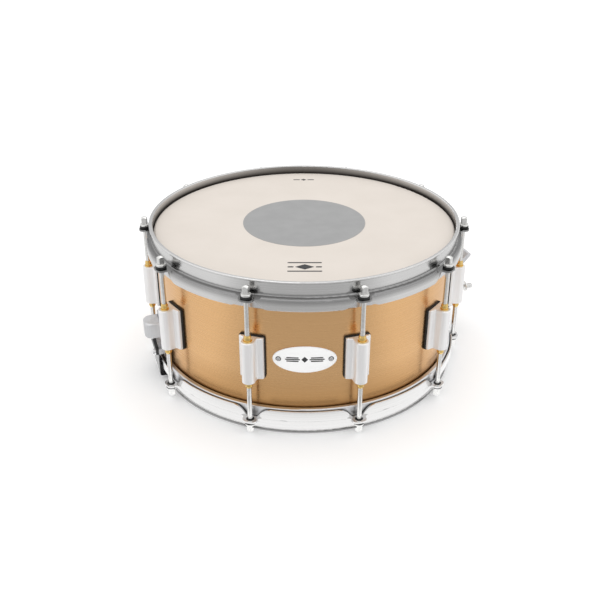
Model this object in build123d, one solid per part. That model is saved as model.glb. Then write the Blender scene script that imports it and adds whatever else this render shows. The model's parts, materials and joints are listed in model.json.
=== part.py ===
from build123d import *
import os
from math import cos, radians, sin, sqrt, tan

# A 14 x 6.5 inch metal snare drum.
# Frame: +Z up, origin on the drum's axis at the lip of the bottom hoop, badge facing -Y.
# An azimuth is counted from the badge, positive towards +X. Each piece that sits on the shell is
# drawn at azimuth 0, where outward is -Y and tangential is +X, and is then turned to its place.

os.makedirs("parts", exist_ok=True)

# ---- driving dimensions, mm ----
shell_radius = 177.5  # outside of the shell
shell_depth = 165.0  # bearing edge to bearing edge
shell_wall = 1.2
crest_radius = 2.0  # outside radius of the rolled bearing edge
edge_run = 9.0  # how far the 45 degree edge runs inward
vent_radius = 6.0

rim_stand = 10.0  # hoop lip proud of the head
hoop_sheet = 2.3
hoop_gap = 1.5  # shell to hoop wall
lip_flare = 1.9
shelf_drop = 17.2  # lip to the shelf's outer face
skirt_offset = 10.0  # shell to the skirt's outside
skirt_drop = 31.0  # lip to the skirt's edge
ear_half_width = 8.2
ear_root_half_width = 13.5
ear_beyond_rod = 6.5
ear_end_round = 5.5
scallop_top_half = 5.5  # half width of the gap in the skirt, under the ear
scallop_foot_half = 14.5  # and at the skirt's edge
scallop_top_round = 3.0
scallop_foot_round = 18.0
gate_half_width = 30.0
gate_height = 13.0

film_thickness = 0.4
film_rest = 0.05  # film clear of the bearing edge
film_gap = 0.4  # film collar to hoop wall
flesh_height = 12.5
flesh_gap = 1.0  # flesh hoop to the skirt's inside
film_tuck = 4.5  # flesh hoop left below the film's edge
dot_radius = 73.0
dot_thickness = 0.25

lug_count = 10
rod_offset = 14.0  # rod circle outside the shell
lug_height = 50.0
lug_flange_half = 13.5
lug_flange_edge = 3.0
lug_flange_slope = 2.2
lug_barrel_radius = 7.3
lug_chamfer = 0.7
gasket_thickness = 1.8
gasket_margin = 1.0
gasket_corner = 3.0
nut_radius = 4.0
nut_flange_radius = 4.8
nut_flange = 1.0
nut_proud = 7.0
nut_buried = 11.0
rod_radius = 2.7
rod_engaged = 16.0  # rod below the nut's outer end
washer_radius = 6.0
washer_thickness = 3.0
bush_wall = 1.2  # the washer's sleeve, which lines the ear's hole
bush_proud = 0.5
key_flange_radius = 5.4
key_flange = 2.2
key_square = 6.4
key_height = 9.0
key_dome = 5.6

screw_radius = 2.0
screw_head_radius = 3.6
screw_head = 2.4
screw_bite = 5.4  # screw beyond the mounting face
lug_screw_spread = 32.0

badge_half_width = 34.0
badge_half_height = 16.0
badge_thickness = 0.8
rivet_stand = 0.5  # rivet head clear of the badge's curve
rivet_inset = 6.0
rivet_radius = 1.2
rivet_head_radius = 2.2
rivet_head = 0.8

strainer_azimuth = 108.0
butt_azimuth = strainer_azimuth - 180.0
snare_drop = 5.5  # how far the snares fall when released
snare_count = 20
snare_pitch = 2.05
snare_radius = 0.9
snare_end = 164.0  # half the length of the strands
snare_head_gap = 0.2
end_plate_inner = 157.0
end_plate_outer = 165.0
end_plate_half = 21.5
end_plate_thickness = 0.7
strap_half = 20.0
strap_thickness = 0.5
strap_gap = 0.1
strap_bend = 3.0
strap_skirt_gap = 1.25

base_half_width = 17.0
base_low = 50.0
base_high = 104.0
base_plate = 3.0
base_corner = 4.0
rail_reach = 4.6
rail_thickness = 3.2
screw_cover = 2.6  # metal over a screw's end
screw_end_gap = 0.6
ear_plate = 3.4
pivot_height = 66.0
pivot_radius = 2.0
pivot_head_radius = 3.2
pivot_head = 0.9
hub_radius = 4.3
hub_gap = 0.7  # hub to the base plate
arm_half = 13.0
arm_plate = 3.4
crank_throw = 5.5
crank_radius = 1.4
lever_swing = 60.0  # degrees from set to released
lever_elbow = (12.5, 18.0)  # from the pivot, outward and up
lever_tip = (34.0, 40.0)
lever_elbow_radius = 4.0
lever_tip_radius = 2.6
slide_half = 8.0
slide_low = 39.0
tongue_wall = 1.8  # metal outside the crank slot
tongue_cover = 3.4  # and above the crank pin
clamp_high = 47.0
clamp_half = 26.0
clamp_plate = 3.4
clamp_screw_spread = 23.0
clamp_screw_head = 3.2
clamp_bite = 5.0  # screw beyond the strap, in the foot
clamp_corner = 2.0
slot_width = 1.0
slot_depth = 1.2
tension_screw_height = 53.2
tension_boss_wall = 3.2
tension_boss_proud = 7.0
tension_screw_radius = 2.5
tension_screw_start = 4.0  # its inner end, beyond the base plate
tension_screw_end = 47.0  # radially beyond the mounting face to the collar
tension_collar_radius = 6.5
tension_collar = 2.4
tension_head = 9.0
butt_low = 49.5
butt_high = 79.5
butt_half = 16.0
butt_body_low = 54.0
butt_body_high = 74.5
butt_body_half = 12.0
butt_body_reach = 21.5
butt_body_flare = 1.5
merge = 0.5  # overlap of shapes that are joined into one piece

# ---- fits ----
seat = 0.3  # between curved faces that sit on one another
flat_on_curve = 0.1  # flat screw head on the shell's inside
running = 0.05  # radial, shaft in its bore
loose = 0.3  # screw in its clearance hole
slide_fit = 0.15  # each side of the strainer slide
pin_play = 0.25  # crank pin in its slot

# ---- heights and radii that follow ----
total_height = shell_depth + 2 * rim_stand
middle = total_height / 2
head_level = total_height - rim_stand
rod_circle = shell_radius + rod_offset
mount_face = shell_radius + seat + gasket_thickness
hoop_wall_in = shell_radius + hoop_gap
hoop_wall_out = hoop_wall_in + hoop_sheet
skirt_out = shell_radius + skirt_offset
skirt_in = skirt_out - hoop_sheet
shelf_level = total_height - shelf_drop
shelf_under = shelf_level - hoop_sheet
collar_out = hoop_wall_in - film_gap
collar_in = collar_out - film_thickness
flesh_in = collar_out + seat
flesh_out = skirt_in - flesh_gap
flesh_low = shelf_under - flesh_height
lug_low = middle - lug_height / 2
lug_high = middle + lug_height / 2
lug_azimuths = [360 / lug_count * (i + 0.5) for i in range(lug_count)]
lug_screw_heights = (middle - lug_screw_spread / 2, middle + lug_screw_spread / 2)
screw_seat = shell_radius - shell_wall - flat_on_curve
base_face = mount_face + base_plate
strap_in = skirt_out + strap_skirt_gap
clamp_middle = (slide_low + clamp_high) / 2
clamp_places = (-clamp_screw_spread, clamp_screw_spread)
strap_out = strap_in + strap_thickness
pivot_offset = base_face + hub_radius + hub_gap
bush_radius = rod_radius + loose + bush_wall
ear_hole_radius = bush_radius + loose
strainer_screw_heights = (82.0, 97.0)
butt_screw_heights = (58.0, 70.5)
hardware_screws = ((strainer_azimuth, strainer_screw_heights), (butt_azimuth, butt_screw_heights))
screw_places = [(azimuth, height) for azimuth in lug_azimuths for height in lug_screw_heights]
screw_places += [(azimuth, height) for azimuth, heights in hardware_screws for height in heights]
rivet_places = (rivet_inset - badge_half_width, badge_half_width - rivet_inset)
through = 12.0  # how far a cutting pin reaches each side of the shell's surface

# ---- drawing planes at azimuth 0 ----
RADIAL = Plane(origin=(0, 0, 0), x_dir=(0, -1, 0), z_dir=(-1, 0, 0))  # x outward, y up
PLAN = Plane(origin=(0, 0, 0), x_dir=(1, 0, 0), z_dir=(0, 0, -1))  # x tangential, y outward


def outline(*corners):
    """A flat face through corners (x, y) or (x, y, radius), each rounded by its own radius."""
    count = len(corners)
    points = [Vector(corner[0], corner[1]) for corner in corners]
    turns = []
    for i, point in enumerate(points):
        radius = corners[i][2] if len(corners[i]) > 2 else 0
        if not radius:
            turns.append((point, None, point))
            continue
        back = (points[i - 1] - point).normalized()
        ahead = (points[(i + 1) % count] - point).normalized()
        half = radians(back.get_angle(ahead) / 2)
        centre = point + (back + ahead).normalized() * (radius / sin(half))
        crown = centre + (point - centre).normalized() * radius
        reach = radius / tan(half)
        turns.append((point + back * reach, crown, point + ahead * reach))
    edges = []
    for i, (start, crown, end) in enumerate(turns):
        if crown is not None:
            edges.append(ThreePointArc(start, crown, end))
        edges.append(Line(end, turns[(i + 1) % count][0]))
    return make_face(edges)


def spun(*corners):
    """A body of revolution about Z; corners are (radius, height, corner radius)."""
    return revolve(Plane.XZ * outline(*corners), Axis.Z)


def outward(face, start, end):
    """A face drawn (tangential, height), extruded from radius start to radius end."""
    return extrude(Plane.XZ.offset(start) * face, end - start)


def upward(face, low, high):
    """A face drawn (tangential, radius), extruded between two heights."""
    return extrude(PLAN.offset(-low) * face, low - high)


def sideways(face, start, end):
    """A face drawn (radius, height), extruded between two tangential places."""
    return extrude(RADIAL.offset(-start) * face, start - end)


def block(half_width, inner, outer, low, high):
    """A plain block, centred tangentially."""
    face = Pos((inner + outer) / 2, (low + high) / 2) * Rectangle(outer - inner, high - low)
    return sideways(face, -half_width, half_width)


def on_both_sides(face, start, end):
    """The same plate at both hands, drawn (radius, height)."""
    return [sideways(face, start, end), sideways(face, -end, -start)]


def radial_pin(radius, start, end, height, tangential=0.0):
    return outward(Pos(tangential, height) * Circle(radius), start, end)


def cross_pin(radius, half_length, out, height):
    return sideways(Pos(out, height) * Circle(radius), -half_length, half_length)


def turned(piece, azimuth):
    return Rot(0, 0, azimuth) * piece


def on_lugs(piece):
    return [turned(piece, azimuth) for azimuth in lug_azimuths]


def underneath(piece):
    """The same piece on the snare side."""
    return mirror(piece, about=Plane.XY.offset(middle))


def save(name, *pieces):
    solids = [solid for piece in pieces for solid in piece.solids()]
    export_step(solids[0] if len(solids) == 1 else Compound(solids), f"parts/{name}.step")


# ---- shell, badge and heads ----


def make_shell():
    """Cylinder whose two edges are rolled over and run inward at 45 degrees."""
    inner_crest = crest_radius - shell_wall
    outer_corner = head_level + crest_radius * sqrt(2)
    inner_corner = head_level - shell_wall + inner_crest * sqrt(2)
    skew = shell_wall / sqrt(2)
    top = [
        (shell_radius, outer_corner, crest_radius),
        (shell_radius - edge_run, outer_corner - edge_run),
        (shell_radius - edge_run + skew, outer_corner - edge_run - skew),
        (shell_radius - shell_wall, inner_corner, inner_crest),
    ]
    bottom = [(corner[0], total_height - corner[1], *corner[2:]) for corner in reversed(top)]
    cuts = [turned(shell_hole(screw_radius + loose, height), azimuth) for azimuth, height in screw_places]
    cuts += [shell_hole(rivet_radius + running, middle, place) for place in rivet_places]
    cuts.append(turned(shell_hole(vent_radius, middle), 180))
    return spun(*top, *bottom) - cuts


def shell_hole(radius, height, tangential=0.0):
    """A pin right through the shell's wall, to cut with."""
    return radial_pin(radius, shell_radius - through, shell_radius + through, height, tangential)


def make_badge():
    """Oval plate curved to the shell."""
    back = shell_radius + seat
    outer_sag = back - sqrt(back**2 - badge_half_width**2)
    oval = Pos(0, middle) * Ellipse(badge_half_width, badge_half_height)
    oval = outward(oval, back - outer_sag - 1, back + badge_thickness + 1)
    height = 4 * badge_half_height
    sleeve = Cylinder(back + badge_thickness, height) - Cylinder(back, height)
    holes = [shell_hole(rivet_radius + running, middle, place) for place in rivet_places]
    return (oval & Pos(0, 0, middle) * sleeve) - holes


def make_badge_rivet(place):
    """Rivet square to the shell's chord, with a domed head outside and a flare inside."""
    surface = sqrt((shell_radius + seat + badge_thickness) ** 2 - place**2)
    inside = sqrt((shell_radius - shell_wall) ** 2 - place**2)
    head_start = surface + rivet_stand
    tail_end = inside - rivet_head
    shank = radial_pin(rivet_radius, tail_end - rivet_head, head_start + rivet_head / 2, middle, place)
    head = radial_pin(rivet_head_radius, head_start, head_start + rivet_head, middle, place)
    head = chamfer(head.faces().sort_by(Axis.Y)[0].edges(), rivet_head / 2)
    tail = radial_pin(rivet_head_radius, tail_end - rivet_head, tail_end, middle, place)
    return shank + head + tail


def make_film():
    """Drumhead film: flat over the bearing edge, then down inside the flesh hoop."""
    under = head_level + film_rest
    bend = collar_in - (shell_radius - crest_radius)
    low = flesh_low + film_tuck
    return spun(
        (0, under),
        (collar_in, under, bend),
        (collar_in, low),
        (collar_out, low),
        (collar_out, under + film_thickness, bend + film_thickness),
        (0, under + film_thickness),
    )


def make_flesh_hoop():
    return spun(
        (flesh_in, flesh_low, 1.0),
        (flesh_out, flesh_low, 1.4),
        (flesh_out, shelf_under, 0.6),
        (flesh_in, shelf_under, 0.6),
    )


def make_dot():
    low = head_level + film_rest + film_thickness
    return Pos(0, 0, low + dot_thickness / 2) * Cylinder(dot_radius, dot_thickness)


# ---- hoops ----


def make_hoop():
    """Triple-flanged hoop: lip, wall, shelf and scalloped skirt, with an ear at each rod."""
    lip_out = hoop_wall_out + lip_flare
    lip_level = total_height
    lip_under = lip_level - hoop_sheet
    foot = total_height - skirt_drop
    ring = spun(
        (hoop_wall_in, lip_level, 1.1),
        (lip_out, lip_level, 1.0),
        (lip_out, lip_under, 0.9),
        (hoop_wall_out, lip_under, 0.8),
        (hoop_wall_out, shelf_level, 1.6),
        (skirt_out, shelf_level, 3.0),
        (skirt_out, foot, 0.8),
        (skirt_in, foot, 0.8),
        (skirt_in, shelf_under, 1.0),
        (hoop_wall_in, shelf_under, 0.5),
    )
    hoop = ring - on_lugs(make_scallop(foot))
    hoop = hoop + on_lugs(make_ear())
    hole = Pos(0, -rod_circle, shelf_level) * Cylinder(ear_hole_radius, 4 * hoop_sheet)
    return hoop - on_lugs(hole)


def make_scallop(foot):
    """What is cut from the skirt under an ear: straight sides eased into the skirt's edge."""
    below = foot - 0.05  # the skirt's edge itself stays whole beyond the easing
    far = 2 * scallop_foot_half
    face = outline(
        (-scallop_top_half, shelf_under, scallop_top_round),
        (scallop_top_half, shelf_under, scallop_top_round),
        (scallop_foot_half, below, scallop_foot_round),
        (far, below),
        (far, below - hoop_sheet),
        (-far, below - hoop_sheet),
        (-far, below),
        (-scallop_foot_half, below, scallop_foot_round),
    )
    sag = skirt_in - sqrt(skirt_in**2 - scallop_foot_half**2)
    return outward(face, skirt_in - 3 * sag, skirt_out + hoop_sheet)


def make_ear():
    """Flat tongue that runs out from the shelf and carries a rod."""
    root = hoop_wall_in + hoop_sheet / 2
    shoulder = skirt_out - hoop_sheet / 2
    waist = skirt_out + hoop_sheet
    end = rod_circle + ear_beyond_rod
    right = [
        (ear_half_width, end, ear_end_round),
        (ear_half_width, waist, 3.0),
        (ear_root_half_width, shoulder, 1.0),
        (ear_root_half_width, root),
    ]
    left = [(-corner[0], *corner[1:]) for corner in reversed(right)]
    return upward(outline(*left, *right), shelf_under, shelf_level)


def gate():
    """The opening in the bottom hoop's lip and wall that a snare strap passes through."""
    face = outline(
        (-gate_half_width, -2.0),
        (gate_half_width, -2.0),
        (gate_half_width, gate_height, 4.0),
        (-gate_half_width, gate_height, 4.0),
    )
    return outward(face, hoop_wall_in - 9, hoop_wall_out + lip_flare + 2)


# ---- lugs and rods ----


def make_lug_casing():
    """Flange against the gasket, with a round barrel that the swivel nuts sit in."""
    step = mount_face + lug_flange_edge
    right = [
        (lug_barrel_radius, rod_circle),
        (lug_barrel_radius, step + lug_flange_slope, 1.6),
        (lug_flange_half, step, 1.5),
        (lug_flange_half, mount_face),
    ]
    left = [(-corner[0], *corner[1:]) for corner in reversed(right)]
    plan = outline(*left, *right)
    casing = upward(plan + Pos(0, rod_circle) * Circle(lug_barrel_radius), lug_low, lug_high)
    ends = casing.faces().sort_by(Axis.Z)
    casing = chamfer(ends[0].edges() + ends[-1].edges(), lug_chamfer)
    bore = Pos(0, -rod_circle, middle) * Cylinder(nut_radius + loose / 2, 2 * lug_height)
    return casing - bore - tapped_holes(lug_screw_heights)


def tapped_holes(heights):
    """Blind holes for the screws that come from inside the shell."""
    end = mount_face + screw_bite + screw_end_gap
    return [radial_pin(screw_radius + loose / 2, mount_face - 1, end, height) for height in heights]


def make_gasket(half_width, low, high, screw_heights):
    """Soft pad, flat outside and curved to the shell inside, a margin larger than what sits on it."""
    centre = (low + high) / 2
    width, height = 2 * (half_width + gasket_margin), high - low + 2 * gasket_margin
    face = Pos(0, centre) * RectangleRounded(width, height, gasket_corner)
    pad = outward(face, shell_radius - through, mount_face)
    pad -= Pos(0, 0, centre) * Cylinder(shell_radius + seat, 2 * height)
    return pad - [shell_hole(screw_radius + loose, height) for height in screw_heights]


def make_shell_screw(height):
    """Screw from inside the shell into whatever sits on its gasket."""
    shank = radial_pin(screw_radius, screw_seat - merge, mount_face + screw_bite, height)
    head = radial_pin(screw_head_radius, screw_seat - screw_head, screw_seat, height)
    head = chamfer(head.faces().sort_by(Axis.Y)[-1].edges(), 0.6)
    return shank + head


def make_swivel_nut():
    """Brass nut for a top rod, held by its flange on the casing's end."""
    bore = rod_radius + running
    nut = spun(
        (bore, lug_high - nut_buried),
        (nut_radius, lug_high - nut_buried, 0.4),
        (nut_radius, lug_high),
        (nut_flange_radius, lug_high),
        (nut_flange_radius, lug_high + nut_flange, 0.4),
        (nut_radius - 0.2, lug_high + nut_flange),
        (nut_radius, lug_high + nut_flange + 1.2, 0.8),
        (nut_radius, lug_high + nut_proud - 2.0, 1.2),
        (nut_radius - 1.0, lug_high + nut_proud),
        (bore, lug_high + nut_proud),
    )
    return Pos(0, -rod_circle, 0) * nut


def make_washer():
    """Shouldered nylon washer: a collar on the ear and a sleeve down through its hole."""
    bore = rod_radius + loose
    low = shelf_under - bush_proud
    washer = spun(
        (bore, low),
        (bush_radius, low, 0.3),
        (bush_radius, shelf_level),
        (washer_radius, shelf_level, 0.4),
        (washer_radius, shelf_level + washer_thickness, 0.7),
        (bore, shelf_level + washer_thickness),
    )
    return Pos(0, -rod_circle, 0) * washer


def key_head(level):
    """Square head for a drum key, standing on level, with a domed top."""
    square = extrude(Plane.XY.offset(level) * RectangleRounded(key_square, key_square, 0.8), key_height)
    centre = level + key_height - key_dome
    below = Pos(0, 0, -key_height / 2) * Cylinder(key_dome, key_height)
    return square & Pos(0, 0, centre) * (Sphere(key_dome) + below)


def make_tension_rod():
    """Rod from its square head through washer and ear down into the swivel nut."""
    tip = lug_high + nut_proud - rod_engaged
    level = shelf_level + washer_thickness
    shaft = spun(
        (0, tip),
        (rod_radius - 0.8, tip),
        (rod_radius, tip + 0.8),
        (rod_radius, level),
        (key_flange_radius, level),
        (key_flange_radius, level + key_flange, 0.8),
        (0, level + key_flange),
    )
    return Pos(0, -rod_circle, 0) * (shaft + key_head(level + key_flange))


# ---- snares ----


def snare_levels():
    """Heights of the strand's axis, the end plate's faces and the strap's faces at rest."""
    axis = total_height - (head_level + film_rest + film_thickness) - snare_head_gap - snare_radius
    plate_top = axis - snare_radius - 0.05
    plate_low = plate_top - end_plate_thickness
    strap_top = plate_low - strap_gap
    return axis, plate_top, plate_low, strap_top


def make_snare_strands():
    axis = snare_levels()[0]
    face = Pos(0, axis) * Circle(snare_radius)
    strand = outward(face, -snare_end, snare_end)
    first = -snare_pitch * (snare_count - 1) / 2
    return [Pos(first + i * snare_pitch, 0, 0) * strand for i in range(snare_count)]


def make_end_plate():
    """Plate under the strands' ends, drawn at azimuth 0."""
    _, top, low, _ = snare_levels()
    width = end_plate_outer - end_plate_inner
    face = Pos(0, (end_plate_inner + end_plate_outer) / 2) * RectangleRounded(2 * end_plate_half, width, 1.5)
    return upward(face, low, top)


def make_strap():
    """Strip from under the end plate, out through the gate and up to the clamp."""
    top = snare_levels()[3]
    low = top - strap_thickness
    path = outline(
        (end_plate_inner, low),
        (strap_out, low, strap_bend),
        (strap_out, clamp_high - 0.5),
        (strap_in, clamp_high - 0.5),
        (strap_in, top, strap_bend - strap_thickness),
        (end_plate_inner, top),
    )
    return sideways(path, -strap_half, strap_half)


# ---- throw-off and butt ----


def clamp_block():
    """Wide foot that carries a strap on its outer face."""
    foot = block(clamp_half, base_face + slide_fit, strap_in, slide_low, clamp_high)
    return fillet(foot.edges().filter_by(Axis.Y).sort_by(Axis.Z)[:2], clamp_corner)


def clamp_holes(radius):
    end = strap_out + 2 * clamp_plate
    return [radial_pin(radius, strap_in - clamp_bite, end, clamp_middle, place) for place in clamp_places]


def make_clamp_plate():
    inner = strap_out + strap_gap
    plate = block(clamp_half, inner, inner + clamp_plate, slide_low, clamp_high)
    plate = fillet(plate.edges().filter_by(Axis.Y), clamp_corner)
    plate = chamfer(plate.faces().sort_by(Axis.Y)[0].edges(), 0.6)
    return plate - clamp_holes(screw_radius + running)


def make_clamp_screws():
    """Two round-headed screws through the clamp plate, one each side of the strap."""
    head_from = strap_out + strap_gap + clamp_plate
    head_end = head_from + clamp_screw_head
    screws = []
    for place in clamp_places:
        shank = radial_pin(screw_radius, strap_in - clamp_bite + 1, head_from + merge, clamp_middle, place)
        head = radial_pin(screw_head_radius, head_from, head_end, clamp_middle, place)
        head = fillet(head.faces().sort_by(Axis.Y)[0].edges(), slot_depth)
        slot = Pos(place, clamp_middle) * Rectangle(3 * screw_head_radius, slot_width)
        screws.append(shank + head - outward(slot, head_end - slot_depth, head_end + 1))
    return screws


def make_strainer_base():
    """Plate on the shell with two ears for the lever, guide rails and a raised screw boss."""
    plate = block(base_half_width, mount_face, base_face, base_low, base_high)
    plate = fillet(plate.edges().filter_by(Axis.Y), base_corner)
    buried = base_face - merge
    ear_out = pivot_offset + hub_radius + 1.5
    ear_face = outline(
        (buried, pivot_height - 10),
        (ear_out - 2, pivot_height - 7, 4.0),
        (ear_out, pivot_height + 6, 4.5),
        (buried, pivot_height + 14),
    )
    rail_from = slide_half + slide_fit
    rail_high = pivot_height - hub_radius - 1.2
    rail_face = outline(
        (buried, base_low),
        (base_face + rail_reach, base_low, 1.0),
        (base_face + rail_reach, rail_high, 1.0),
        (buried, rail_high),
    )
    boss_low = pivot_height + 11
    boss_out = mount_face + screw_bite + screw_cover
    boss_face = outline(
        (buried, boss_low),
        (boss_out, boss_low + 1.5, 2.0),
        (boss_out, base_high - 6, 3.0),
        (buried, base_high - 1.5),
    )
    ears = on_both_sides(ear_face, base_half_width - ear_plate, base_half_width)
    rails = on_both_sides(rail_face, rail_from, rail_from + rail_thickness)
    boss = sideways(boss_face, -slide_half - 1, slide_half + 1)
    pivot = cross_pin(pivot_radius + running / 2, base_half_width + 1, pivot_offset, pivot_height)
    return plate + ears + rails + boss - tapped_holes(strainer_screw_heights) - pivot


def make_lever():
    """Forked lever: two arms on the pivot, a paddle beyond the elbow and the crank pin between."""
    pivot = (pivot_offset, pivot_height)
    hub = Pos(*pivot) * Circle(hub_radius)
    elbow = Pos(pivot[0] + lever_elbow[0], pivot[1] + lever_elbow[1]) * Circle(lever_elbow_radius)
    tip = Pos(pivot[0] + lever_tip[0], pivot[1] + lever_tip[1]) * Circle(lever_tip_radius)
    arm_face = make_hull([*hub.edges(), *elbow.edges()])
    paddle_face = make_hull([*elbow.edges(), *tip.edges()])
    arms = on_both_sides(arm_face, arm_half - arm_plate, arm_half)
    paddle = sideways(paddle_face, -arm_half, arm_half)
    crank = cross_pin(crank_radius, arm_half - arm_plate / 2, *crank_place())
    bore = cross_pin(pivot_radius + running, arm_half + 1, *pivot)
    return paddle + arms + crank - bore


def crank_place():
    """The crank pin at rest: half the swing above the pivot's level, on its outer side."""
    half_swing = radians(lever_swing / 2)
    return (
        pivot_offset + crank_throw * cos(half_swing),
        pivot_height + crank_throw * sin(half_swing),
    )


def make_pivot_pin():
    """Pin through both ears, headed at each end."""
    pin = cross_pin(pivot_radius, base_half_width + merge, pivot_offset, pivot_height)
    head = Pos(pivot_offset, pivot_height) * Circle(pivot_head_radius)
    return pin + on_both_sides(head, base_half_width, base_half_width + pivot_head)


def make_strainer_slide():
    """Block that runs between the rails, with a tongue that the crank pin works in."""
    crank_out, crank_height = crank_place()
    room = crank_radius + pin_play
    slot_in = crank_out - room
    slot_out = pivot_offset + crank_throw + room
    slot = outline(
        (slot_in, crank_height - room, crank_radius),
        (slot_out, crank_height - room, crank_radius),
        (slot_out, crank_height + room, crank_radius),
        (slot_in, crank_height + room, crank_radius),
    )
    runner_in = base_face + slide_fit
    tongue_in = pivot_offset + pivot_radius + 0.35
    tongue_out = slot_out + tongue_wall
    tongue_high = crank_height + tongue_cover
    shelf = pivot_height - hub_radius - 1.7
    over_clamp = clamp_high + strap_gap
    runner = outline(
        (runner_in, clamp_high - 1),
        (strap_in, clamp_high - 1),
        (strap_in, over_clamp),
        (tongue_out, over_clamp, 1.0),
        (tongue_out, tongue_high, 1.5),
        (tongue_in, tongue_high, 0.6),
        (tongue_in, shelf, 1.0),
        (runner_in, shelf - 2.0, 1.0),
    )
    slide = sideways(runner, -slide_half, slide_half)
    boss_out = tongue_out + tension_boss_proud
    boss_radius = tension_screw_radius + tension_boss_wall
    boss = radial_pin(boss_radius, base_face + tension_screw_start, boss_out, tension_screw_height)
    bore_in = base_face + tension_screw_start - 1
    bore = radial_pin(tension_screw_radius + running, bore_in, boss_out + 1, tension_screw_height)
    slide = slide + clamp_block() + boss
    slot_cut = sideways(slot, -2 * slide_half, 2 * slide_half)
    return slide - slot_cut - bore - clamp_holes(screw_radius + running)


def make_tension_screw():
    """Radial screw in the slide's boss, with a collar and a square head for a drum key."""
    start = base_face + tension_screw_start
    collar_from = mount_face + tension_screw_end
    screw = radial_pin(tension_screw_radius, start, collar_from + merge, tension_screw_height)
    collar_end = collar_from + tension_collar
    collar = radial_pin(tension_collar_radius, collar_from, collar_end, tension_screw_height)
    collar = chamfer(collar.edges().filter_by(GeomType.CIRCLE), 0.5)
    side = 2 * tension_screw_radius
    face = Pos(0, tension_screw_height) * RectangleRounded(side, side, 0.6)
    head = outward(face, collar_end - merge, collar_end + tension_head)
    head = chamfer(head.faces().sort_by(Axis.Y)[0].edges(), 0.5)
    return screw + collar + head


def make_butt_plate():
    """Fixed end of the snares: flanged plate, rounded body and strap foot."""
    plate = block(butt_half, mount_face, base_face, butt_low, butt_high)
    plate = fillet(plate.edges().filter_by(Axis.Y), base_corner + 1)
    buried = base_face - merge
    front = mount_face + butt_body_reach
    body_face = outline(
        (-butt_body_half - butt_body_flare, buried),
        (-butt_body_half, front, 9.0),
        (butt_body_half, front, 9.0),
        (butt_body_half + butt_body_flare, buried),
    )
    body = upward(body_face, butt_body_low, butt_body_high)
    ends = body.faces().sort_by(Axis.Z)
    body = chamfer(ends[0].edges() + ends[-1].edges(), 1.6)
    web = block(butt_body_half - 2, buried, strap_in, clamp_high - 1, butt_body_low + 3)
    butt = plate + body + web + clamp_block()
    return butt - tapped_holes(butt_screw_heights) - clamp_holes(screw_radius + running)


# ---- write every piece ----

save("shell", make_shell())
save("shell_screws", *[turned(make_shell_screw(height), azimuth) for azimuth, height in screw_places])
save("badge_plate", make_badge())
save("badge_rivets", *[make_badge_rivet(place) for place in rivet_places])

film = make_film()
flesh_hoop = make_flesh_hoop()
save("batter_film", film)
save("batter_dot", make_dot())
save("batter_flesh_hoop", flesh_hoop)
save("snare_side_film", underneath(film))
save("snare_side_flesh_hoop", underneath(flesh_hoop))

hoop = make_hoop()
save("top_hoop", hoop)
save("bottom_hoop", underneath(hoop) - [turned(gate(), a) for a in (strainer_azimuth, butt_azimuth)])

casing = make_lug_casing()
rod = make_tension_rod()
nut = make_swivel_nut()
washer = make_washer()
lug_gasket = make_gasket(lug_flange_half, lug_low, lug_high, lug_screw_heights)
for number, azimuth in enumerate(lug_azimuths, start=1):
    save(f"lug_casing_{number:02d}", turned(casing, azimuth))
    save(f"top_tension_rod_{number:02d}", turned(rod, azimuth))
    save(f"bottom_tension_rod_{number:02d}", turned(underneath(rod), azimuth))
save("lug_gaskets", *on_lugs(lug_gasket))
save("swivel_nuts", *on_lugs(nut), *on_lugs(underneath(nut)))
save("rod_washers", *on_lugs(washer), *on_lugs(underneath(washer)))

strainer_gasket = make_gasket(base_half_width, base_low, base_high, strainer_screw_heights)
butt_gasket = make_gasket(butt_half, butt_low, butt_high, butt_screw_heights)
strap = make_strap()
clamp_plate_piece = make_clamp_plate()
end_plate = make_end_plate()
save(
    "snare_hardware_gaskets",
    turned(strainer_gasket, strainer_azimuth),
    turned(butt_gasket, butt_azimuth),
)
save("strainer_base", turned(make_strainer_base(), strainer_azimuth))
save("lever_pivot_pin", turned(make_pivot_pin(), strainer_azimuth))
save("throw_off_lever", turned(make_lever(), strainer_azimuth))
save("strainer_slide", turned(make_strainer_slide(), strainer_azimuth))
save("snare_tension_screw", turned(make_tension_screw(), strainer_azimuth))
save("butt_plate", turned(make_butt_plate(), butt_azimuth))
for side, azimuth in (("strainer", strainer_azimuth), ("butt", butt_azimuth)):
    save(f"{side}_clamp_plate", turned(clamp_plate_piece, azimuth))
    save(f"{side}_clamp_screws", *[turned(screw, azimuth) for screw in make_clamp_screws()])
    save(f"{side}_strap", turned(strap, azimuth))
save("snare_wires", *[turned(strand, strainer_azimuth) for strand in make_snare_strands()])
save("snare_end_plates", turned(end_plate, strainer_azimuth), turned(end_plate, butt_azimuth))
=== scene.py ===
import json
from math import cos, pi, radians, sin, tau

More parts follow.
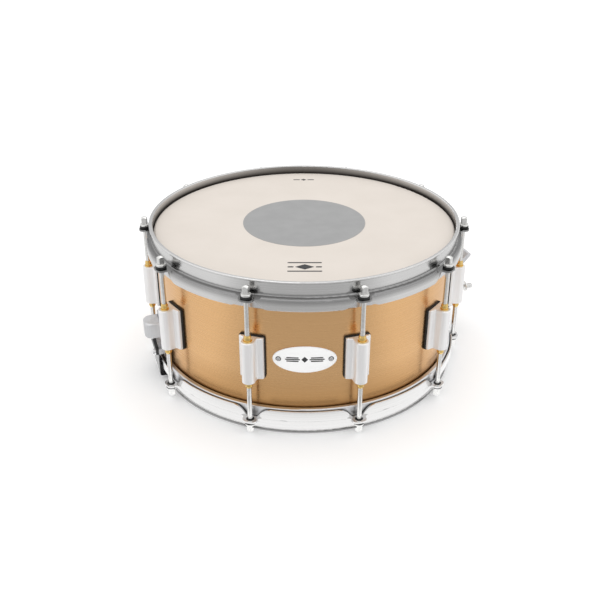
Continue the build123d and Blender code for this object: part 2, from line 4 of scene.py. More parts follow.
import bpy
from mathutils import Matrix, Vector


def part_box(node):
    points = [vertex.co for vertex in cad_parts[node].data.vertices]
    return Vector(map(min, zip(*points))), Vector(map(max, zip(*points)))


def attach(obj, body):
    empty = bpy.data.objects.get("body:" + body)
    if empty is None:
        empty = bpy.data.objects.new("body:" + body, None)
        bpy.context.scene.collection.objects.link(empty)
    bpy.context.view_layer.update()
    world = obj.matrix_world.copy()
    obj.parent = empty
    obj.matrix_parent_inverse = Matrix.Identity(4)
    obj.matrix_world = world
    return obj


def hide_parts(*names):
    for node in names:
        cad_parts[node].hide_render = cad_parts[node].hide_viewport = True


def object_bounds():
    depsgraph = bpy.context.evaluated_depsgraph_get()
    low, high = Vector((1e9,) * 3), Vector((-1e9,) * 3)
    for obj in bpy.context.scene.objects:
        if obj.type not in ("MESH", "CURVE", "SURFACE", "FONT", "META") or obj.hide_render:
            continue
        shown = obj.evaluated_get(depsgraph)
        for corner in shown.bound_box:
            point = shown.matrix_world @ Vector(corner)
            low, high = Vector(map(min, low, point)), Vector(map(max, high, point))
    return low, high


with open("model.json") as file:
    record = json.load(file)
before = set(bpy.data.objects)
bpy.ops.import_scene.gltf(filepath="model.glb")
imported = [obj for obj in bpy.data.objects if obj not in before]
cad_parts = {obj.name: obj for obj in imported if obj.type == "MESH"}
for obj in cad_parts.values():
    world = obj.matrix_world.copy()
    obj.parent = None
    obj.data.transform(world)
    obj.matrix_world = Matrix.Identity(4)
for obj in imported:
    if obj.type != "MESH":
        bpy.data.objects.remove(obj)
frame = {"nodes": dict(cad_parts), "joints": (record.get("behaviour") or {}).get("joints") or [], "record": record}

CAD_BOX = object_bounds()
NODES = frame["nodes"]
MM = 0.001

# ---- places, all from the frame ----
SHELL_LOW, SHELL_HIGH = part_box("shell")
SHELL_RADIUS = (SHELL_HIGH[0] - SHELL_LOW[0]) / 2
MIDDLE = (SHELL_LOW[2] + SHELL_HIGH[2]) / 2
HEAD_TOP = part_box("batter_film")[1][2]
LIP_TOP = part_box("top_hoop")[1][2]
COLLAR_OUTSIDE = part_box("batter_film")[1][0]
WALL_INSIDE = COLLAR_OUTSIDE + 0.4 * MM  # the top hoop's inner wall, round the film's collar
SHELF = LIP_TOP - 17.2 * MM  # the top hoop's shelf, between its wall and its skirt
HOOP_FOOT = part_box("top_hoop")[0][2]
SKIRT_INSIDE = SHELL_RADIUS + 7.7 * MM
LOW_SHELF = 15.5 * MM  # the bottom hoop's shelf, and its lip's height below
LOW_LIP = 2.2 * MM
BADGE_LOW, BADGE_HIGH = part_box("badge_plate")
JOINTS = {joint["name"]: joint for joint in frame["joints"]}
SNARE_AXIS = JOINTS["snare_tension_turn"]["axis"]


# ---- node graphs ----


def add(tree, kind, inputs=None, **settings):
    """A node with its properties set and its inputs linked or filled; returns its first output."""
    node = tree.nodes.new(kind)
    for key, value in settings.items():
        setattr(node, key, value)
    for key, value in (inputs or {}).items():
        if isinstance(value, bpy.types.NodeSocket):
            tree.links.new(value, node.inputs[key])
        else:
            node.inputs[key].default_value = value
    return node.outputs[0]


def math(tree, operation, a, b=0.0):
    return add(tree, "ShaderNodeMath", {0: a, 1: b}, operation=operation)


def remap(tree, value, low, high, start=0.0, end=1.0):
    """value carried from start..end to low..high, and held there."""
    inputs = {"Value": value, "From Min": start, "From Max": end, "To Min": low, "To Max": high}
    return add(tree, "ShaderNodeMapRange", inputs)


def mix(tree, factor, a, b):
    """Colour a where factor is 0, b where it is 1."""
    node = tree.nodes.new("ShaderNodeMix")
    node.data_type = "RGBA"
    for socket, value in ((node.inputs[0], factor), (node.inputs[6], a), (node.inputs[7], b)):
        if isinstance(value, bpy.types.NodeSocket):
            tree.links.new(value, socket)
        elif socket.type == "RGBA":
            socket.default_value = (*value, 1.0)
        else:
            socket.default_value = value
    return node.outputs[2]


def object_place(tree):
    return tree.nodes.new("ShaderNodeTexCoord").outputs["Object"]


def across_axis(tree, x, y):
    """The distance of (x, y) from the drum's axis."""
    squares = math(tree, "ADD", math(tree, "MULTIPLY", x, x), math(tree, "MULTIPLY", y, y))
    return math(tree, "SQRT", squares)


def round_place(tree):
    """(radius, distance round the drum, height) of a point, so that grain can run round the axis."""
    split = tree.nodes.new("ShaderNodeSeparateXYZ")
    tree.links.new(object_place(tree), split.inputs[0])
    x, y, z = split.outputs
    radius = across_axis(tree, x, y)
    angle = math(tree, "ARCTAN2", x, math(tree, "MULTIPLY", y, -1.0))
    around = math(tree, "MULTIPLY", angle, SHELL_RADIUS)
    return add(tree, "ShaderNodeCombineXYZ", {0: radius, 1: around, 2: z})


def stretched_noise(tree, place, stretch, detail=2.0):
    """Noise whose grains per metre along each axis are stretch."""
    vector = add(tree, "ShaderNodeVectorMath", {0: place, 1: stretch}, operation="MULTIPLY")
    return add(tree, "ShaderNodeTexNoise", {"Vector": vector, "Scale": 1.0, "Detail": detail})


def material(name):
    made = bpy.data.materials.new(name)
    made.use_nodes = True
    tree = made.node_tree
    return made, tree, tree.nodes["Principled BSDF"]


def link_bump(tree, shader, height, distance, strength=1.0):
    normal = add(
        tree, "ShaderNodeBump", {"Height": height, "Distance": distance, "Strength": strength}
    )
    tree.links.new(normal, shader.inputs["Normal"])


def edge_mask(tree, radius):
    """1 on edges narrower than radius, 0 on flats, from how far a rounded normal leans."""
    rounded = tree.nodes.new("ShaderNodeBevel")
    rounded.samples = 3
    rounded.inputs["Radius"].default_value = radius
    plain = tree.nodes.new("ShaderNodeNewGeometry").outputs["Normal"]
    lean = tree.nodes.new("ShaderNodeVectorMath")
    lean.operation = "DOT_PRODUCT"
    tree.links.new(rounded.outputs[0], lean.inputs[0])
    tree.links.new(plain, lean.inputs[1])
    return remap(tree, lean.outputs["Value"], 1.0, 0.0, 0.80, 0.99)


# ---- materials ----

ROUND, UPRIGHT = "round", "upright"


def brushed_metal(
    name, colour, dark, grain, roughness, anisotropy=0.6, wear=0.0, fine=1500, depth=0.02,
    metallic=1.0, inner=None
):
    """Satin metal with drawn grain: round the drum's axis, or upright; depth in mm is the grain's relief."""
    made, tree, shader = material(name)
    if grain == ROUND:
        place = round_place(tree)
        hair = stretched_noise(tree, place, (fine, 5, fine), 2.0)
        streak = stretched_noise(tree, place, (700, 2.5, 700), 2.0)
        cloud = stretched_noise(tree, place, (12, 7, 20), 2.0)
    else:
        place = object_place(tree)
        hair = stretched_noise(tree, place, (fine, fine, 26), 3.0)
        streak = stretched_noise(tree, place, (420, 420, 12), 3.0)
        cloud = stretched_noise(tree, place, (60, 60, 30), 3.0)
    tint = math(tree, "ADD", math(tree, "MULTIPLY", hair, 0.5), math(tree, "MULTIPLY", streak, 0.5))
    body = mix(tree, remap(tree, tint, 0.0, 1.0, 0.30, 0.70), dark, colour)
    smudge = remap(tree, cloud, -0.025, 0.035, 0.3, 0.7)
    rough = math(tree, "ADD", remap(tree, hair, roughness - 0.04, roughness + 0.05, 0.3, 0.7), smudge)
    if wear:
        worn = math(tree, "MULTIPLY", edge_mask(tree, 0.6 * MM), wear)
        bright = tuple(min(1.0, channel * 1.2 + 0.05) for channel in colour)
        body = mix(tree, worn, body, bright)
        rough = math(tree, "SUBTRACT", rough, math(tree, "MULTIPLY", worn, 0.12))
    # inner lays darker painted tones over the body, standing in for shade and dark reflections
    if inner:
        body = inner(tree, body)
    tree.links.new(body, shader.inputs["Base Color"])
    tree.links.new(rough, shader.inputs["Roughness"])
    shader.inputs["Metallic"].default_value = metallic
    shader.inputs["Anisotropic"].default_value = anisotropy
    shader.inputs["Anisotropic Rotation"].default_value = 0.25 if grain == ROUND else 0.0
    tangent = add(tree, "ShaderNodeTangent", direction_type="RADIAL", axis="Z")
    tree.links.new(tangent, shader.inputs["Tangent"])
    link_bump(tree, shader, hair, depth * MM)
    return made


def hoop_painted_shade(tree, body):
    """Darker tones on the top hoop's inner wall and fold, and low on the bottom hoop.

    They stand in for dark reflections that the plain studio doesn't give, and aren't wear on the metal.
    """
    # dull is the colour of the painted shade in the fold and low on the bottom hoop, standing in for dark
    # reflections and shade
    dull = (0.05, 0.05, 0.052)
    split = tree.nodes.new("ShaderNodeSeparateXYZ")
    tree.links.new(round_place(tree), split.inputs[0])
    radius, around, height = split.outputs
    inside = remap(tree, radius, 1.0, 0.0, WALL_INSIDE + 0.15 * MM, WALL_INSIDE + 0.7 * MM)
    above = remap(tree, height, 0.0, 1.0, MIDDLE, MIDDLE + 10 * MM)
    turned = math(tree, "ABSOLUTE", math(tree, "DIVIDE", around, SHELL_RADIUS))
    top = remap(tree, turned, 0.12, 0.62, 2.2, 3.0)
    low = remap(tree, height, 0.93, top, HEAD_TOP + 1.0 * MM, LIP_TOP - 1.2 * MM)
    wall = math(tree, "MULTIPLY", math(tree, "MULTIPLY", inside, above), low)
    # The inner wall gets a painted dark reflection, near black just above the head
    body = mix(tree, wall, body, (0.012, 0.009, 0.007))
    over = remap(tree, height, 1.0, 0.0, SHELF, SHELF + 4 * MM)
    under = remap(tree, height, 0.0, 1.0, HOOP_FOOT + 5 * MM, SHELF)
    outside = math(tree, "SUBTRACT", above, math(tree, "MULTIPLY", inside, above))
    fold = math(tree, "MULTIPLY", math(tree, "MULTIPLY", over, under), outside)
    body = mix(tree, math(tree, "MULTIPLY", fold, 0.70), body, dull)
    below = remap(tree, height, 1.0, 0.0, MIDDLE - 10 * MM, MIDDLE)
    behind = remap(tree, radius, 1.0, 0.0, SKIRT_INSIDE + 0.2 * MM, SKIRT_INSIDE + 0.8 * MM)
    raised = remap(tree, height, 0.0, 1.0, LOW_SHELF, LOW_SHELF + 2 * MM)
    hidden = math(tree, "MULTIPLY", math(tree, "MULTIPLY", behind, raised), below)
    lip = remap(tree, height, 1.0, 0.0, LOW_LIP, LOW_LIP + 0.7 * MM)
    shade = math(tree, "MAXIMUM", math(tree, "MULTIPLY", hidden, 0.72), math(tree, "MULTIPLY", lip, 0.62))
    return mix(tree, shade, body, dull)


def bronze_painted_reflection(tree, body):
    """A darker tone towards the bottom hoop, in place of the dark reflection seen there."""
    split = tree.nodes.new("ShaderNodeSeparateXYZ")
    tree.links.new(round_place(tree), split.inputs[0])
    # Painted reflection: the bronze is mixed towards a dark brown below the middle of the shell
    painted_reflection_share = remap(tree, split.outputs[2], 0.80, 0.0, 29 * MM, 74 * MM)
    return mix(tree, painted_reflection_share, body, (0.40, 0.20, 0.06))


def turned_metal(name, colour, roughness, rings=2600, depth=0.000012):
    """Plated or turned metal with faint machining rings along its height and fine handling marks."""
    made, tree, shader = material(name)
    place = object_place(tree)
    ring = stretched_noise(tree, place, (60, 60, rings), 2.0)
    marks = stretched_noise(tree, place, (700, 700, 500), 4.0)
    dull = tuple(channel * 0.86 for channel in colour)
    body = mix(tree, remap(tree, marks, 0.0, 1.0, 0.35, 0.65), dull, colour)
    handled = remap(tree, marks, roughness, roughness + 0.09, 0.35, 0.7)
    rough = math(tree, "ADD", handled, remap(tree, ring, 0.0, 0.03))
    tree.links.new(body, shader.inputs["Base Color"])
    tree.links.new(rough, shader.inputs["Roughness"])
    shader.inputs["Metallic"].default_value = 1.0
    link_bump(tree, shader, ring, depth)
    return made


def moulded(name, colour, roughness, grain=1500, depth=0.00004, dust=0.03):
    """Rubber, nylon or painted parts: fine pebbled skin with a little dust in the hollows."""
    made, tree, shader = material(name)
    place = object_place(tree)
    pebble = stretched_noise(tree, place, (grain, grain, grain), 3.0)
    patch = stretched_noise(tree, place, (90, 90, 90), 4.0)
    dusty = tuple(channel + dust for channel in colour)
    body = mix(tree, remap(tree, patch, 0.0, 1.0, 0.40, 0.75), colour, dusty)
    skin = remap(tree, pebble, roughness - 0.05, roughness + 0.06, 0.3, 0.7)
    rough = math(tree, "ADD", skin, remap(tree, patch, -0.03, 0.05))
    tree.links.new(body, shader.inputs["Base Color"])
    tree.links.new(rough, shader.inputs["Roughness"])
    link_bump(tree, shader, pebble, depth)
    return made


def coated_film():
    """Sprayed, slightly sandy white coating over polyester, warmer where sticks have worked it."""
    made, tree, shader = material("coated_film")
    place = object_place(tree)
    sand = stretched_noise(tree, place, (1500, 1500, 1500), 4.0)
    flow = stretched_noise(tree, place, (22, 22, 22), 4.0)
    speck = stretched_noise(tree, place, (520, 520, 520), 2.0)
    body = mix(tree, remap(tree, flow, 0.0, 1.0, 0.35, 0.65), (0.728, 0.665, 0.602), (0.752, 0.688, 0.626))
    body = mix(tree, remap(tree, speck, 0.0, 0.10, 0.60, 0.75), body, (0.62, 0.58, 0.54))
    tree.links.new(body, shader.inputs["Base Color"])
    tree.links.new(remap(tree, sand, 0.50, 0.66, 0.3, 0.7), shader.inputs["Roughness"])
    shader.inputs["Specular IOR Level"].default_value = 0.35
    link_bump(tree, shader, sand, 0.00005)
    return made


def dot_film():
    """Smooth grey reinforcing disc with a faint rolled mottling."""
    made, tree, shader = material("grey_dot")
    place = object_place(tree)
    mottle = stretched_noise(tree, place, (45, 45, 45), 4.0)
    fine = stretched_noise(tree, place, (1800, 1800, 1800), 2.0)
    body = mix(tree, remap(tree, mottle, 0.0, 1.0, 0.35, 0.65), (0.322, 0.322, 0.322), (0.350, 0.350, 0.350))
    tree.links.new(body, shader.inputs["Base Color"])
    tree.links.new(remap(tree, fine, 0.34, 0.44, 0.3, 0.7), shader.inputs["Roughness"])
    link_bump(tree, shader, fine, 0.00002)
    return made


def hazy_film():
    """Thin snare-side film: milky, glossy, with faint drawn streaks."""
    made, tree, shader = material("hazy_film")
    place = object_place(tree)
    drawn = stretched_noise(tree, place, (9, 160, 40), 3.0)
    body = mix(tree, remap(tree, drawn, 0.0, 1.0, 0.35, 0.65), (0.60, 0.60, 0.585), (0.68, 0.68, 0.665))
    tree.links.new(body, shader.inputs["Base Color"])
    tree.links.new(remap(tree, drawn, 0.12, 0.22, 0.3, 0.7), shader.inputs["Roughness"])
    shader.inputs["Coat Weight"].default_value = 0.4
    link_bump(tree, shader, drawn, 0.00005)
    return made


def badge_metal():
    """White-silver plate with a very fine sideways grain."""
    made, tree, shader = material("badge_silver")
    place = object_place(tree)
    hair = stretched_noise(tree, place, (40, 40, 2600), 2.0)
    body = mix(tree, remap(tree, hair, 0.0, 1.0, 0.35, 0.65), (0.93, 0.93, 0.93), (0.97, 0.97, 0.97))
    tree.links.new(body, shader.inputs["Base Color"])
    tree.links.new(remap(tree, hair, 0.36, 0.46, 0.3, 0.7), shader.inputs["Roughness"])
    shader.inputs["Metallic"].default_value = 0.0
    link_bump(tree, shader, hair, 0.00001)
    return made


def printed_ink(name, colour):
    """Ink with a soft, slightly broken print."""
    made, tree, shader = material(name)
    broken = stretched_noise(tree, object_place(tree), (1300, 1300, 1300), 3.0)
    paler = tuple(channel + 0.05 for channel in colour)
    body = mix(tree, remap(tree, broken, 0.0, 1.0, 0.4, 0.8), colour, paler)
    tree.links.new(body, shader.inputs["Base Color"])
    tree.links.new(remap(tree, broken, 0.45, 0.6), shader.inputs["Roughness"])
    return made


MATERIALS = {
    "brushed_bronze": brushed_metal(
        "brushed_bronze", (0.87, 0.535, 0.262), (0.825, 0.495, 0.235), ROUND, 0.27, anisotropy=0.75,
        fine=2400, depth=0.003, inner=bronze_painted_reflection,
    ),
    "hoop_steel": brushed_metal(
        "hoop_steel", (0.76, 0.755, 0.75), (0.69, 0.685, 0.68), ROUND, 0.20, anisotropy=0.5,
        inner=hoop_painted_shade,
    ),
    "brushed_lug": brushed_metal(
        "brushed_lug", (0.97, 0.965, 0.965), (0.86, 0.85, 0.85), UPRIGHT, 0.34, anisotropy=0.5,
        wear=0.5, metallic=0.62,
    ),
    "flesh_aluminium": brushed_metal(
        "flesh_aluminium", (0.78, 0.78, 0.79), (0.66, 0.66, 0.67), ROUND, 0.30, anisotropy=0.4
    ),
    "strainer_metal": brushed_metal(
        "strainer_metal", (0.70, 0.70, 0.71), (0.60, 0.60, 0.61), UPRIGHT, 0.30, anisotropy=0.4, wear=0.6
    ),
    "chrome_rod": turned_metal("chrome_rod", (0.83, 0.825, 0.81), 0.07),
    "plated_screw": turned_metal("plated_screw", (0.74, 0.74, 0.75), 0.14),
    "brass_nut": turned_metal("brass_nut", (0.86, 0.60, 0.22), 0.16),
    "snare_steel": turned_metal("snare_steel", (0.72, 0.72, 0.73), 0.18),
    "black_rubber": moulded("black_rubber", (0.010, 0.010, 0.010), 0.60, dust=0.012),
    "black_nylon": moulded("black_nylon", (0.004, 0.004, 0.004), 0.42, grain=1100, depth=0.00002, dust=0.004),
    "black_clamp": moulded("black_clamp", (0.014, 0.014, 0.015), 0.34, grain=1700, depth=0.00003),
    "black_strap": moulded("black_strap", (0.016, 0.016, 0.017), 0.24, grain=900, depth=0.00001),
    "coated_film": coated_film(),
    "grey_dot": dot_film(),
    "clear_film": hazy_film(),
    "badge_silver": badge_metal(),
}
INK = printed_ink("printed_ink", (0.015, 0.015, 0.017))
ENGRAVED = printed_ink("engraved_line", (0.02, 0.02, 0.022))


def paint_nodes():
    """Every CAD node gets the material of its slot."""
    for entry in frame["record"]["subparts"]:
        node = NODES[entry["node"]]
        node.data.materials.clear()
        node.data.materials.append(MATERIALS[entry["material_slot"]])


# ---- meshes made here ----


def piece(name, vertices, faces, look, body, smooth=True):
    """A mesh object that rides on a CAD body."""
    mesh = bpy.data.meshes.new(name)
    mesh.from_pydata(vertices, [], faces)
    mesh.polygons.foreach_set("use_smooth", [smooth] * len(mesh.polygons))
    mesh.materials.append(look)
    mesh.update()
    made = bpy.data.objects.new(name, mesh)
    bpy.context.scene.collection.objects.link(made)
    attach(made, body)
    return made


def tube_along(points, radius, sides):
    """Vertices and faces of a round wire along points, closed at its ends."""
    vertices, faces = [], []
    for i, point in enumerate(points):
        before = points[max(i - 1, 0)]
        after = points[min(i + 1, len(points) - 1)]
        ahead = (after - before).normalized()
        side = ahead.cross(Vector((0, 0, 1)))
        side = side.normalized() if side.length > 1e-6 else Vector((1, 0, 0))
        up = side.cross(ahead)
        for k in range(sides):
            turn = tau * k / sides
            vertices.append(point + radius * (side * cos(turn) + up * sin(turn)))
    for i in range(len(points) - 1):
        for k in range(sides):
            a, b = i * sides + k, i * sides + (k + 1) % sides
            faces.append((a, b, b + sides, a + sides))
    faces.append(tuple(range(sides - 1, -1, -1)))
    last = (len(points) - 1) * sides
    faces.append(tuple(last + k for k in range(sides)))
    return vertices, faces


def snare_coils():
    """Twenty open wire coils in place of the plain strands, each from end plate to end plate."""
    low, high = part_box("snare_wires")
    coil_radius = (high[2] - low[2]) / 2
    wire = 0.26 * MM
    level = (high[2] + low[2]) / 2
    along = Vector(SNARE_AXIS)
    across = Vector((-along.y, along.x, 0))
    count, pitch, reach = 20, 2.05 * MM, 0.164
    turn_pitch, steps = 2.3 * MM, 9
    turns = 2 * reach / turn_pitch
    vertices, faces = [], []
    for strand in range(count):
        offset = across * pitch * (strand - (count - 1) / 2)
        points = []
        for i in range(int(turns * steps) + 1):
            angle = tau * i / steps + strand
            place = along * (-reach + 2 * reach * i / (turns * steps)) + offset
            rise = (coil_radius - wire) * sin(angle)
            swing = (coil_radius - wire) * cos(angle)
            points.append(place + across * swing + Vector((0, 0, level + rise)))
        new_vertices, new_faces = tube_along(points, wire, 4)
        base = len(vertices)
        vertices += new_vertices
        faces += [tuple(base + v for v in face) for face in new_faces]
    coils = piece("snare_coils", vertices, faces, MATERIALS["snare_steel"], "snares")
    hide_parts("snare_wires")


def rod_threads():
    """A rolled thread on each rod, from just outside its swivel nut towards the hoop."""
    nut_low, nut_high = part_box("swivel_nuts")[0][2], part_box("swivel_nuts")[1][2]
    rod_radius, pitch, length, steps = 2.7 * MM, 1.06 * MM, 9 * MM, 18
    for side, start, sign in (("top", nut_high, 1), ("bottom", nut_low, -1)):
        for number in range(1, 11):
            low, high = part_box(f"{side}_tension_rod_{number:02d}")
            centre = Vector(((low[0] + high[0]) / 2, (low[1] + high[1]) / 2, 0))
            points = []
            for i in range(int(length / pitch * steps) + 1):
                angle = tau * i / steps
                rise = start + sign * (0.8 * MM + pitch * i / steps)
                ring = Vector((cos(angle), sign * sin(angle), 0)) * (rod_radius - 0.14 * MM)
                points.append(centre + ring + Vector((0, 0, rise)))
            vertices, faces = tube_along(points, 0.30 * MM, 5)
            name = f"{side}_rod_thread_{number:02d}"
            piece(name, vertices, faces, MATERIALS["chrome_rod"], f"{side}_rod_{number:02d}")


def on_shell(tangential, height, lift):
    """A point standing lift outside the badge's face, at the badge's azimuth."""
    outside = -BADGE_LOW[1] + lift
    angle = tangential / outside
    return Vector((outside * sin(angle), -outside * cos(angle), height))


def oval_band(name, outer, inner, thickness, look):
    """A raised band round the badge with a rounded section, between two ovals."""
    steps, section = 96, 6
    vertices, faces = [], []
    for i in range(steps):
        turn = tau * i / steps
        for k in range(section):
            share = k / (section - 1)
            half = [outer[n] + (inner[n] - outer[n]) * share for n in (0, 1)]
            lift = thickness * sin(pi * share) - 0.02 * MM
            vertices.append(on_shell(half[0] * cos(turn), MIDDLE + half[1] * sin(turn), lift))
    for i in range(steps):
        for k in range(section - 1):
            a = i * section + k
            b = (i + 1) % steps * section + k
            faces.append((a, b, b + 1, a + 1))
    return piece(name, vertices, faces, look, "drum")


def inlay(name, columns, place, thickness, look):
    """A thin shape following its face: columns are (x, low y, high y), place lays (x, y, lift) down."""
    buried = -0.03 * MM
    vertices, faces = [], []
    for x, low, high in columns:
        for y, lift in ((low, buried), (low, thickness), (high, thickness), (high, buried)):
            vertices.append(place(x, y, lift))
    for i in range(len(columns) - 1):
        faces += [(a, a + 4, a + 5, a + 1) for a in range(4 * i, 4 * i + 3)]
    last = 4 * (len(columns) - 1)
    faces += [(0, 1, 2, 3), (last + 3, last + 2, last + 1, last)]
    return piece(name, vertices, faces, look, "drum", smooth=False)


def lozenge(half_width, half_height, steps=8):
    """The columns of a lozenge, with hair-thin tips."""
    columns = []
    for i in range(steps + 1):
        across = 2 * i / steps - 1
        half = max(half_height * (1 - abs(across)), 0.02 * MM)
        columns.append((half_width * across, -half, half))
    return columns


def bar(half_width, half_height, x=0.0, y=0.0, steps=5):
    """The columns of a bar with round ends."""
    straight = half_width - half_height
    right = []
    for i in range(steps + 1):
        turn = tau / 4 * i / steps
        right.append((straight + half_height * sin(turn), max(half_height * cos(turn), 0.02 * MM)))
    middle = [(straight * (2 * i / steps - 1), half_height) for i in range(1, steps)]
    halves = [(-across, half) for across, half in reversed(right)] + middle + right
    return [(x + across, y - half, y + half) for across, half in halves]


def rivet_ring(name, x, inner):
    """A dark annular mark round a badge rivet."""
    steps = 32
    outer, lift, buried = inner + 0.75 * MM, 0.07 * MM, -0.03 * MM
    profile = ((inner - 0.15 * MM, lift), (outer, lift), (outer, buried))
    vertices, faces = [], []
    for i in range(steps):
        turn = tau * i / steps
        for radius, lift in profile:
            vertices.append(on_shell(x + radius * cos(turn), MIDDLE + radius * sin(turn), lift))
    for i in range(steps):
        for k in range(2):
            a, b = 3 * i + k, 3 * ((i + 1) % steps) + k
            faces.append((a, a + 1, b + 1, b))
    piece(name, vertices, faces, ENGRAVED, "drum", smooth=False)


def badge_details():
    """A raised rim and a plain engraved pattern of bars and lozenges."""
    half = ((BADGE_HIGH[0] - BADGE_LOW[0]) / 2, (BADGE_HIGH[2] - BADGE_LOW[2]) / 2)
    outer, inner = ([side - inset for side in half] for inset in (0.1 * MM, 1.1 * MM))
    oval_band("badge_rim", outer, inner, 0.3 * MM, MATERIALS["badge_silver"])

    def place(x, y, lift):
        return on_shell(x, MIDDLE + y, lift)

    shapes = {"badge_lozenge": lozenge(3.6 * MM, 3.6 * MM)}
    for side, sign in (("left", -1), ("right", 1)):
        for row, y, length in (("low", -2.1, 6.6), ("mid", 0.0, 8.0), ("high", 2.1, 6.6)):
            shapes[f"badge_bar_{side}_{row}"] = bar(length * MM, 0.72 * MM, sign * 13.0 * MM, y * MM)
    for name, columns in shapes.items():
        inlay(name, columns, place, 0.06 * MM, ENGRAVED)
    low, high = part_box("badge_rivets")
    radius = (high[2] - low[2]) / 2
    for side, sign in (("left", -1), ("right", 1)):
        rivet_ring(f"badge_rivet_ring_{side}", sign * ((high[0] - low[0]) / 2 - radius), radius)


def head_marks():
    """Plain printed marks near the head's front and back edges: bars and a lozenge."""

    def front(x, y, lift):
        return Vector((x, -0.126 + y, HEAD_TOP + lift))

    def back(x, y, lift):
        return Vector((x, 0.150 + y, HEAD_TOP + lift))

    inlay("front_mark_lozenge", lozenge(10.5 * MM, 6.5 * MM), front, 0.03 * MM, INK)
    for name, x, y in (("left", -15.0, 0.0), ("right", 15.0, 0.0)):
        inlay(f"front_mark_{name}", bar(3.4 * MM, 1.5 * MM, x * MM, y * MM), front, 0.03 * MM, INK)
    for name, y in (("low", -10.5), ("high", 10.5)):
        inlay(f"front_mark_{name}", bar(18.5 * MM, 1.3 * MM, 0.0, y * MM), front, 0.03 * MM, INK)
    inlay("back_mark_lozenge", lozenge(4 * MM, 3.6 * MM), back, 0.03 * MM, INK)
    for name, x in (("left", -9.5), ("right", 9.5)):
        inlay(f"back_mark_{name}", bar(4.6 * MM, 1.4 * MM, x * MM), back, 0.03 * MM, INK)


# ---- stage, light and camera ----

CEILING, SIDES, FRONT, BACK = 1.16, 0.92, 0.60, 0.62  # radiance of the studio tent, as reflections meet it
APRON, FLOOR_SIDES, FLOOR_FRONT = 1.2, 0.86, 0.52  # and of the floor at the drum's foot and beyond


def make_stage():
    mesh = bpy.data.meshes.new("floor")
    size = 12.0
    corners = [(-size, -size, 0), (size, -size, 0), (size, size, 0), (-size, size, 0)]
    mesh.from_pydata(corners, [], [(0, 1, 2, 3)])
    made, tree, shader = material("floor_paper")
    grain = stretched_noise(tree, object_place(tree), (6, 6, 6), 4.0)
    paper = mix(tree, grain, (0.955, 0.955, 0.955), (0.975, 0.975, 0.975))
    tree.links.new(paper, shader.inputs["Base Color"])
    shader.inputs["Roughness"].default_value = 0.9
    shader.inputs["Specular IOR Level"].default_value = 0.1
    shader.inputs["Emission Color"].default_value = (1.0, 1.0, 1.0, 1.0)
    shader.inputs["Emission Strength"].default_value = 0.12
    mesh.materials.append(made)
    floor = bpy.data.objects.new("floor", mesh)
    floor.location.z = CAD_BOX[0][2]
    bpy.context.scene.collection.objects.link(floor)


def area_light(name, place, target, width, height, power):
    light = bpy.data.lights.new(name, "AREA")
    light.shape = "RECTANGLE"
    light.size, light.size_y = width, height
    light.energy = power
    made = bpy.data.objects.new(name, light)
    made.location = place
    made.rotation_euler = (Vector(target) - Vector(place)).to_track_quat("-Z", "Y").to_euler()
    bpy.context.scene.collection.objects.link(made)


def facing(tree, x, y, sign):
    """1 straight ahead (sign -1, towards the camera) or behind (sign 1), falling to 0 at the sides."""
    flat = across_axis(tree, x, y)
    cosine = math(tree, "DIVIDE", math(tree, "MULTIPLY", y, sign), math(tree, "MAXIMUM", flat, 0.001))
    return add(
        tree,
        "ShaderNodeMapRange",
        {"Value": cosine, "From Min": 0.55, "From Max": 0.98},
        interpolation_type="SMOOTHSTEP",
    )


def make_world():
    """A studio tent: bright ceiling and sides, dim towards the camera and behind."""
    world = bpy.data.worlds.new("studio")
    world.use_nodes = True
    tree = world.node_tree
    split = tree.nodes.new("ShaderNodeSeparateXYZ")
    tree.links.new(tree.nodes.new("ShaderNodeTexCoord").outputs["Generated"], split.inputs[0])
    x, y, z = split.outputs
    horizon = math(tree, "ADD", SIDES, math(tree, "MULTIPLY", facing(tree, x, y, -1.0), FRONT - SIDES))
    horizon = math(tree, "ADD", horizon, math(tree, "MULTIPLY", facing(tree, x, y, 1.0), BACK - SIDES))
    rise = remap(tree, z, 0.0, 1.0, 0.35, 0.70)
    lift = math(tree, "MULTIPLY", rise, math(tree, "SUBTRACT", CEILING, horizon))
    background = tree.nodes["Background"]
    background.inputs["Color"].default_value = (1.0, 1.0, 1.0, 1.0)
    studio = math(tree, "ADD", horizon, lift)
    seen = tree.nodes.new("ShaderNodeLightPath").outputs["Is Camera Ray"]
    white = math(tree, "MULTIPLY", seen, math(tree, "SUBTRACT", 1.1, studio))
    tree.links.new(math(tree, "ADD", studio, white), background.inputs["Strength"])
    bpy.context.scene.world = world


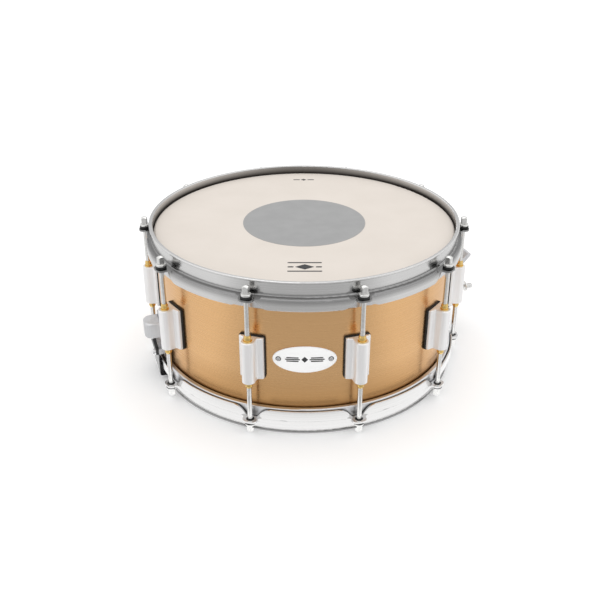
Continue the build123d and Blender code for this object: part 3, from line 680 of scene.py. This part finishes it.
def make_floor_card():
    """A card on the floor that only reflections see: white at the drum's foot, grey beyond it in front."""
    reach, rings, sides = 3.0, 2, 64
    vertices = [(0, 0, 0)]
    for ring in range(1, rings + 1):
        for k in range(sides):
            turn = tau * k / sides
            vertices.append((reach * ring / rings * cos(turn), reach * ring / rings * sin(turn), 0))
    faces = [(0, 1 + k, 1 + (k + 1) % sides) for k in range(sides)]
    for k in range(sides):
        after = (k + 1) % sides
        faces.append((1 + k, 1 + sides + k, 1 + sides + after, 1 + after))
    mesh = bpy.data.meshes.new("floor_card")
    mesh.from_pydata(vertices, [], faces)
    made, tree, shader = material("floor_card")
    split = tree.nodes.new("ShaderNodeSeparateXYZ")
    tree.links.new(object_place(tree), split.inputs[0])
    x, y, _ = split.outputs
    front = math(tree, "MULTIPLY", facing(tree, x, y, -1.0), FLOOR_FRONT - FLOOR_SIDES)
    far = math(tree, "ADD", FLOOR_SIDES, front)
    flat = across_axis(tree, x, y)
    beyond = remap(tree, flat, 0.0, 1.0, 0.222, 0.250)
    glow = math(tree, "ADD", APRON, math(tree, "MULTIPLY", beyond, math(tree, "SUBTRACT", far, APRON)))
    shader.inputs["Base Color"].default_value = (0.0, 0.0, 0.0, 1.0)
    shader.inputs["Specular IOR Level"].default_value = 0.0
    shader.inputs["Emission Color"].default_value = (1.0, 1.0, 1.0, 1.0)
    tree.links.new(glow, shader.inputs["Emission Strength"])
    mesh.materials.append(made)
    card = bpy.data.objects.new("floor_card", mesh)
    card.location.z = CAD_BOX[0][2] + 0.2 * MM
    for kind in ("camera", "diffuse", "transmission", "volume_scatter", "shadow"):
        setattr(card, f"visible_{kind}", False)
    bpy.context.scene.collection.objects.link(card)


def make_light():
    """The tent, the reflection card and a weak overhead key from behind the drum."""
    make_world()
    make_floor_card()
    area_light("overhead", (0.1, 0.45, 1.5), (0, 0, MIDDLE), 1.1, 0.8, 1.5)
    bpy.context.scene.view_settings.view_transform = "Standard"


def make_camera():
    """Level with the photograph's view: about 28 degrees above the rim plane, from a metre away."""
    target = Vector((-0.005, 0.0, 0.374 * CAD_BOX[1][2]))
    distance, elevation = 1.0125, radians(27.84)
    data = bpy.data.cameras.new("camera")
    data.sensor_width = 36.0
    data.lens = 48.2
    camera = bpy.data.objects.new("camera", data)
    camera.location = target + distance * Vector((0, -cos(elevation), sin(elevation)))
    camera.rotation_euler = (target - camera.location).to_track_quat("-Z", "Y").to_euler()
    bpy.context.scene.collection.objects.link(camera)
    bpy.context.scene.camera = camera


paint_nodes()
snare_coils()
rod_threads()
badge_details()
head_marks()
make_stage()
make_light()
make_camera()
